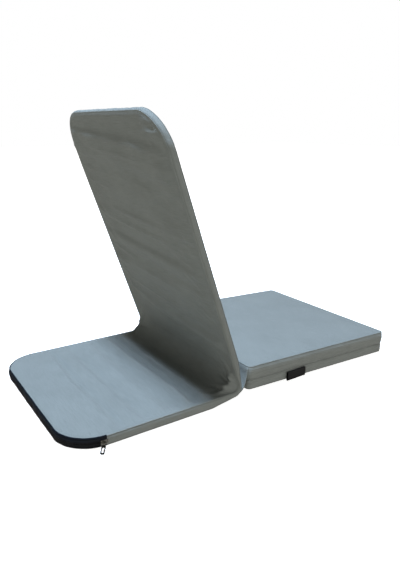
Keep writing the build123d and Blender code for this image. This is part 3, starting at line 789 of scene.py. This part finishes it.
def nickel_plate():
    """Tumbled and plated: a bright metal with fine scratches and duller patches."""
    material, tree, shader = start_material("nickel_plated_zinc", metallic=1.0, roughness=0.24)
    place = add_node(tree, "TexCoord").outputs["Object"]
    rubbed = add_node(tree, "TexNoise", {"Vector": place, "Scale": 1 / RUB_SIZE, "Detail": 3.0})
    patch = add_node(tree, "TexNoise", {"Vector": place, "Scale": PATCH_SCALE, "Detail": 3.0})
    tone = add_node(
        tree, "Mix", {0: patch, 6: linear(NICKEL_SHADE), 7: linear(NICKEL_BRIGHT)}, data_type="RGBA"
    )
    tree.links.new(tone.outputs[2], shader.inputs["Base Color"])
    gloss = add_node(tree, "MapRange", {"Value": rubbed, 1: 0.3, 2: 0.7, 3: 0.18, 4: 0.34})
    tree.links.new(gloss.outputs[0], shader.inputs["Roughness"])
    return material


dress(nickel_plate(), "zipper_slider", "zipper_pull", "zipper_end_stops")

# ---- seat cushion -------------------------------------------------------------------------------
# A thick foam block in its own grey cover: square edges with turned seams, and a side band made in
# two widths that meet in one more seam. Its rear wall leans back towards the top.
SEAT_LENGTH = 393.6 * MM
SEAT_THICKNESS = 50.0 * MM
SEAT_CROWN = 1.8 * MM
SEAT_CORNER = 9.0 * MM
SEAT_OVERHANG = 10.0 * MM
SEAT_TUCK = 9.0 * MM           # the filled bottom edge reaches back too
SEAT_SETBACK = 41.0 * MM
SEAT_LIFT = 13.7 * MM
SEAT_SEAM = 21.0 * MM          # the band's middle seam, up from the bottom
SEAT_GROOVE = 1.0 * MM         # its depth
SEAT_SEAM_LIP = 0.1 * MM
SEAT_LOWER_BOW = 0.8 * MM
SEAT_UPPER_BOW = 1.2 * MM
SEAT_HOLLOWS = (0.40 * MM, 140 * MM, 130 * MM)
SEAT_DENTS = (0.16 * MM, 50 * MM, 60 * MM)
SEAT_EDGE = (8 * MM, 34 * MM)  # the hollows fade in over this strip
SEAT_PULL_REACH = 24 * MM
SEAT_SWELL = (0.3 * MM, 60 * MM, 1.0)  # the last is a share of the side's height
SEAT_PULLS = (1.0 * MM, 12 * MM, 1 / 2.2)
SEAT_STEP = 3.7 * MM           # between rows
SEAT_HALF = HALF - 0.5 * MM
SEAT_SPAN = SEAT_LENGTH + SEAT_OVERHANG
SEAT_TILT = math.asin(SEAT_LIFT / SEAT_LENGTH)
SEAT_REAR = np.array([PIVOT[1] - SEAT_SETBACK, SEAT_LIFT])
SEAT_FORWARD = np.array([-math.cos(SEAT_TILT), -math.sin(SEAT_TILT)])
SEAT_UP = np.array([-math.sin(SEAT_TILT), math.cos(SEAT_TILT)])


def seat_shape(x, s, n, lift):
    """A tilted block whose rear wall reaches further back at the top than at the bottom:
    reach = overhang n + tuck (1 - n), and forward = s (length + reach) / span - reach."""
    reach = SEAT_OVERHANG * n + SEAT_TUCK * (1 - n)
    forward = s * (SEAT_LENGTH + reach) / SEAT_SPAN - reach
    height = n * SEAT_THICKNESS + lift * np.where(n > 0.5, 1, -1)
    place = SEAT_REAR + forward[..., None] * SEAT_FORWARD + height[..., None] * SEAT_UP
    return np.stack([x, place[..., 0], place[..., 1]], axis=-1)


def seat_top_relief(x, s):
    """Swell crown (1 - (x / half)^6) (1 - (2t - 1)^6), which stays full close to the edges, with
    faint broad hollows."""
    t = np.clip(s / SEAT_SPAN, 0, 1)
    swell = SEAT_CROWN * (1 - (x / HALF) ** 6) * (1 - (2 * t - 1) ** 6)
    broad = spread(rumple, SEAT_HOLLOWS, x, s, 41) + spread(rumple, SEAT_DENTS, x, s, 42)
    inside = ramp(HALF - np.abs(x), *SEAT_EDGE) * ramp(s, *SEAT_EDGE)
    return swell + broad * inside * ramp(SEAT_SPAN - s, *SEAT_EDGE)


def seat_pulls(run, x, s, n):
    """A slow swell all round, with small pulls at the four upright edges: swell + (0.1 + 0.9
    corner) pulls."""
    corner = lump(np.abs(x), HALF, SEAT_PULL_REACH)
    corner = corner * (lump(s, 0, SEAT_PULL_REACH) + lump(s, SEAT_SPAN, SEAT_PULL_REACH))
    slow = spread(rumple, SEAT_SWELL, run, n + 0 * run, 51)
    quick = spread(rumple, SEAT_PULLS, run, n + 0 * run, 52)
    return (slow + (0.10 + 0.9 * corner) * quick) * bowed(n)


def seat_wall():
    """The side's own rings. The lower band bows out by bow * sin πt from n 0.09 to the seam - 0.03,
    the middle seam is a groove 0.008 wide between two lips, and the upper band bows out likewise
    from the seam + 0.04 to 0.91."""
    seam = SEAT_SEAM / SEAT_THICKNESS
    lower = [
        (-SEAT_LOWER_BOW * math.sin(math.pi * t), 0.09 + (seam - 0.12) * t) for t in (0.2, 0.5, 0.8)
    ]
    groove = [
        (-SEAT_SEAM_LIP, seam - 0.018), (SEAT_GROOVE, seam - 0.004), (SEAT_GROOVE, seam + 0.004),
        (-SEAT_SEAM_LIP, seam + 0.018),
    ]
    upper = [
        (-SEAT_UPPER_BOW * math.sin(math.pi * t) - SEAT_SEAM_LIP, seam + 0.04 + (0.87 - seam) * t)
        for t in (0.2, 0.4, 0.6, 0.8)
    ]
    return lower + groove + upper


seat_rows = np.arange(SEAT_CORNER, SEAT_SPAN - SEAT_CORNER, SEAT_STEP)[1:]
seat = sew_pad(
    "seat_cushion",
    Pad(SEAT_HALF, SEAT_SPAN, SEAT_CORNER, SEAT_CORNER, columns=104, middle=seat_rows, turns=8),
    seat_shape,
    lambda x, s: 0 * x,
    seat_top_relief,
    turned_seams(SEAT_THICKNESS, seat_wall()),
    seat_pulls,
    [grey_cloth],
    lambda s, inset: 0,
)
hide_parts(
    "seat_foam_block", "seat_cover_top", "seat_cover_upper_band", "seat_cover_lower_band",
    "seat_cover_bottom",
)
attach(seat, "seat")

# ---- seat web -----------------------------------------------------------------------------------
# A limp strip of the cover cloth ties the seat's rear wall to the front of the bend. It is sewn in
# between the covers, and the seat folds on it.
WEB_THICKNESS = 1.2 * MM
WEB_SIDE_GAP = 3.0 * MM
WEB_LOW = math.radians(238)    # where it leaves the round of the bend
WEB_TUCK = 1.0 * MM            # it is sewn in under the bend's cloth
WEB_TOP = np.array([0.5, 6.0]) * MM    # its upper end, back from the seat's axis and above it
WEB_SAG = 4.0 * MM
WEB_SAG_WAY = np.array([-1.0, -0.35])  # forwards and a little down
WEB_WAVE = (1.0 * MM, 28 * MM, 20 * MM)
WEB_DROOP = 10.0 * MM          # its two free ends hang lower
WEB_FRAY = (0.25, 6 * MM, 20 * MM)     # and do so unevenly
WEB_END = (38 * MM, 4 * MM)    # in from the pad's sides; the droop grows over this stretch
WEB_ROWS = 22
WEB_COLUMNS = 150

seat_axis = np.array(next(j for j in frame["joints"] if j["name"] == "seat_fold")["pos_m"])


def closed_sheet(name, front, rear, flat, finish):
    """Two grids of places, closed by one row of faces round their shared rim."""
    rows, columns = front.shape[:2]
    size = rows * columns
    i = np.arange(1, rows - 1)
    j = np.arange(columns)
    rim = np.concatenate([
        j, i * columns + columns - 1, (rows - 1) * columns + j[::-1], i[::-1] * columns
    ])
    ahead = np.roll(rim, -1)
    faces = np.concatenate([
        grid_faces(rows, columns), grid_faces(rows, columns, size, True),
        np.stack([rim, rim + size, ahead + size, ahead], -1),
    ])
    vertices = np.concatenate([front.reshape(-1, 3), rear.reshape(-1, 3)])
    flat = flat.reshape(-1, 2)
    return make_mesh(name, vertices, faces, [finish], np.concatenate([flat, flat]))


def web_cloth(line):
    """The line in y and z swept across x, with half the thickness to either side. Its middle waves
    by a rumple, and hangs lower by droop * slack (1 + fray) at both ends."""
    x = np.linspace(WEB_SIDE_GAP - HALF, HALF - WEB_SIDE_GAP, WEB_COLUMNS)
    side = np.gradient(line, axis=0)
    side = np.stack([-side[:, 1], side[:, 0]], -1) / np.linalg.norm(side, axis=1, keepdims=True)
    run = np.concatenate([[0], np.cumsum(np.linalg.norm(np.diff(line, axis=0), axis=1))])[:, None]
    middle = np.sin(np.linspace(0, math.pi, WEB_ROWS))[:, None]
    bow = spread(rumple, WEB_WAVE, x, run, 61) * middle
    slack = ramp(np.abs(x), HALF - WEB_END[0], HALF - WEB_END[1]) * middle
    droop = WEB_DROOP * slack * (1 + spread(rumple, WEB_FRAY, x, run, 62))
    sheets = []
    for half in (0.5, -0.5):
        place = line[:, None, :] + np.stack([0 * slack, -droop], -1)
        place = place + side[:, None, :] * (bow + half * WEB_THICKNESS)[..., None]
        sheets.append(np.concatenate([(x + 0 * bow)[..., None], place], -1))
    flat = np.stack([x + 0 * bow, run + 0 * bow], -1)
    return closed_sheet("seat_web_cloth", *sheets, flat, grey_cloth)


web_from = np.array([math.cos(WEB_LOW), math.sin(WEB_LOW)]) * (BEND_OUTER - WEB_TUCK) + PIVOT[1:]
web_to = seat_axis[1:] + WEB_TOP
t = np.linspace(0, 1, WEB_ROWS)[:, None]
web_line = web_from * (1 - t) + web_to * t
web_line = web_line + WEB_SAG_WAY * WEB_SAG * np.sin(math.pi * t)
web = web_cloth(web_line)
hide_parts("seat_hinge_web")
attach(web, "back")

# ---- side label ---------------------------------------------------------------------------------
# A folded loop of black woven satin ribbon, left bare. Its ends are caught in the side band's
# middle seam near the seat's rear, so that it hangs over the lower width.
LABEL_PLY = 0.45 * MM
LABEL_BOW = 4.6 * MM           # the open loop stands this far out
LABEL_GAP = 0.4 * MM           # between the loop and the wall
LABEL_DROP = 2.0 * MM
LABEL_FOLD_ROOM = 1.2 * MM     # the loop stops short of its box's top and bottom
LABEL_TRIM = 0.5 * MM          # and of its two ends
LABEL_BULGE = 0.3 * MM
LABEL_WAVE = 11.0 * MM
LABEL_LENGTH = 45.0 * MM       # of ribbon round the loop
LABEL_STEPS = 44
LABEL_COLUMNS = 24
SATIN_LIGHT = "#0B0C10"
SATIN_DARK = "#050507"
SATIN_PITCH = 0.4 * MM         # real satin is finer; drawn coarser to show

black_satin = woven_cloth(
    "black_satin_ribbon", SATIN_LIGHT, SATIN_DARK, SATIN_PITCH,
    roughness=0.5, specular=0.35, sheen=0.0,
)


def label_loop():
    """A rounded loop: down the outside, round the fold, and back up against the wall. With t from 0
    to 1, z = middle + tall * cos 2πt and out = gap + bow (1 ± sqrt|sin 2πt|) / 2, plus outside."""
    low, high = (np.array(corner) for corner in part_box("seat_side_label"))
    turn = np.linspace(0, 1, LABEL_STEPS)
    round_loop = 2 * math.pi * turn
    middle = (low[2] + high[2]) / 2 - LABEL_DROP
    z = middle + ((high[2] - low[2]) / 2 - LABEL_FOLD_ROOM) * np.cos(round_loop)
    swing = np.sign(turn - 0.5) * np.abs(np.sin(round_loop)) ** 0.5
    line = np.stack([-HALF - LABEL_GAP - LABEL_BOW * 0.5 * (1 - swing), z], -1)
    y = np.linspace(low[1] + LABEL_TRIM, high[1] - LABEL_TRIM, LABEL_COLUMNS)
    bulge = LABEL_BULGE * np.sin(y / LABEL_WAVE)
    outer = line[:, None, :] + np.stack([-bulge, 0 * bulge], -1)[None]
    inward = np.array([-HALF - LABEL_BOW / 2, middle]) - line
    inward /= np.linalg.norm(inward, axis=1, keepdims=True)
    inner = outer + inward[:, None, :] * LABEL_PLY
    sheets = [
        np.stack([sheet[..., 0], y + 0 * sheet[..., 0], sheet[..., 1]], -1)
        for sheet in (outer, inner)
    ]
    flat = np.stack([y + 0 * outer[..., 0], turn[:, None] * LABEL_LENGTH + 0 * outer[..., 0]], -1)
    return closed_sheet("side_label_ribbon", *sheets, flat, black_satin)


label = label_loop()
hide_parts("seat_side_label")
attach(label, "seat")

# ---- floor, light and camera --------------------------------------------------------------------
# A plain white studio floor under one soft lamp from above, seen from behind the chair on its -X
# side. The rest of the light is the room's own, brightest in a band round the horizon.
FLOOR_WHITE = "#F8F8F7"
FLOOR_SHADE = "#F3F3F2"
FLOOR_REACH = 12.0
FLOOR_DROP = 0.2 * MM
FLOOR_MOTTLE = 0.25                        # patches about this wide
FLOOR_GLOW = {1: 0.4, 2: 1.3, 3: 0.88, 4: 1.12}    # 0.88 at 0.4 m and 1.12 at 1.3 m
LAMP_POWER = 203.0
LAMP_COLOUR = (0.65, 0.80, 1.0)
LAMP_PLACE = (0.05, 0.34, 3.1)
LAMP_SIZE = 0.5
FRONT_LIGHT = (1.56, 1.53, 1.44, 1)        # from the chair's front and -X side
REAR_LIGHT = (0.97, 0.95, 0.86, 1)         # from its rear and +X side
FRONT_WAY = (-0.5, -0.87, 0.0)
IN_REFLECTIONS = 0.42                      # of the room's light
CAMERA_PLACE = (-0.9001, 0.3708, 0.5028)
CAMERA_HEADING = math.radians(-34.19)      # from +X towards +Y
CAMERA_DOWN = math.radians(16.75)
CAMERA_ROLL = math.radians(0.5)
FOCAL_PIXELS = 526.6
PICTURE_HEIGHT = 570
SENSOR_HEIGHT = 36.0                       # in mm
NEAREST_SEEN = 10 * MM


def studio_floor():
    """Painted board: white, matt, with a faint mottle. It glows a little, and more away from the
    chair, so that it stays white to the edge of the picture."""
    material, tree, shader = start_material("white_painted_board", metallic=0.0, roughness=0.85)
    place = add_node(tree, "TexCoord").outputs["Object"]
    mottle = add_node(tree, "TexNoise", {"Vector": place, "Scale": 1 / FLOOR_MOTTLE, "Detail": 3.0})
    tone = add_node(
        tree, "Mix", {0: mottle, 6: linear(FLOOR_SHADE), 7: linear(FLOOR_WHITE)}, data_type="RGBA"
    )
    tree.links.new(tone.outputs[2], shader.inputs["Base Color"])
    shader.inputs["Emission Color"].default_value = (1, 1, 1, 1)
    away = add_node(tree, "VectorMath", {0: place}, operation="LENGTH")
    glow = add_node(tree, "MapRange", {"Value": away.outputs["Value"], **FLOOR_GLOW})
    tree.links.new(glow.outputs[0], shader.inputs["Emission Strength"])
    corner = np.array([[-1, -1, 0], [1, -1, 0], [1, 1, 0], [-1, 1, 0]]) * FLOOR_REACH
    corner = corner - np.array([0, 0, FLOOR_DROP])
    return make_mesh("floor", corner, [(0, 1, 2, 3)], [material], corner[:, :2])


floor = studio_floor()
floor.visible_diffuse = False              # white to the eye, but it throws no light on the cloth
floor.visible_glossy = False

lamp_data = bpy.data.lights.new("ceiling_lamp", "AREA")
lamp_data.energy = LAMP_POWER
lamp_data.color = LAMP_COLOUR
lamp_data.size = LAMP_SIZE
lamp = bpy.data.objects.new("ceiling_lamp", lamp_data)
lamp.location = LAMP_PLACE                 # a lamp faces straight down until it is turned
lamp.visible_glossy = False                # so that metal shows no small hot spot
bpy.context.scene.collection.objects.link(lamp)

world = bpy.data.worlds.new("studio")
bpy.context.scene.world = world
world.use_nodes = True
sky = world.node_tree
sky.nodes.clear()
# Level: full near the horizon and a tenth overhead. Behind the chair it comes from the horizon and
# below, with little from above. Tint: warm, and brighter in front.
way = add_node(sky, "TexCoord").outputs["Generated"]
split = add_node(sky, "SeparateXYZ", {0: way})
height = add_node(sky, "Math", {0: split.outputs[2]}, operation="ABSOLUTE")
band = add_node(sky, "MapRange", {"Value": height, 1: 0.15, 2: 0.80, 3: 1.0, 4: 0.1})
facing = add_node(sky, "VectorMath", {0: way, 1: FRONT_WAY}, operation="DOT_PRODUCT")
front = add_node(sky, "MapRange", {"Value": facing.outputs["Value"], 1: -0.9, 2: 0.9})
tint = add_node(sky, "Mix", {0: front, 6: REAR_LIGHT, 7: FRONT_LIGHT}, data_type="RGBA")
above = add_node(sky, "MapRange", {"Value": split.outputs[2], 1: -0.5, 2: 0.3, 3: 2.0, 4: 0.1})
evened = add_node(sky, "Mix", {0: front, 2: above, 3: 0.95})
level = add_node(sky, "Math", {0: band, 1: evened}, operation="MULTIPLY")
path = add_node(sky, "LightPath").outputs
dimmed = add_node(sky, "MapRange", {"Value": path["Is Glossy Ray"], 3: 1.0, 4: IN_REFLECTIONS})
level = add_node(sky, "Math", {0: level, 1: dimmed}, operation="MULTIPLY")
room = add_node(sky, "Background", {"Color": tint.outputs[2], "Strength": level})
backdrop = add_node(sky, "Background", {"Color": (1, 1, 1, 1), "Strength": 1.0})
both = add_node(sky, "MixShader", {0: path["Is Camera Ray"], 1: room, 2: backdrop})
add_node(sky, "OutputWorld", {0: both})

level_share = math.cos(CAMERA_DOWN)
look = np.array([
    math.cos(CAMERA_HEADING) * level_share,
    math.sin(CAMERA_HEADING) * level_share,
    -math.sin(CAMERA_DOWN),
])
side = np.cross(look, (0, 0, 1))
side /= np.linalg.norm(side)
up = np.cross(side, look)
rolled_side = side * math.cos(CAMERA_ROLL) + up * math.sin(CAMERA_ROLL)
rolled_up = up * math.cos(CAMERA_ROLL) - side * math.sin(CAMERA_ROLL)
turned = np.eye(4)             # columns: the camera's side, its up, the way behind it, its place
turned[:3] = np.stack([rolled_side, rolled_up, -look, CAMERA_PLACE], axis=-1)
camera_data = bpy.data.cameras.new("photo_camera")
camera_data.sensor_fit = "VERTICAL"
camera_data.sensor_height = SENSOR_HEIGHT
camera_data.lens = SENSOR_HEIGHT * FOCAL_PIXELS / PICTURE_HEIGHT
camera_data.clip_start = NEAREST_SEEN
camera = bpy.data.objects.new("photo_camera", camera_data)
camera.matrix_world = turned.T.tolist()    # column after column
bpy.context.scene.collection.objects.link(camera)
bpy.context.scene.camera = camera
bpy.context.scene.view_settings.view_transform = "Standard"
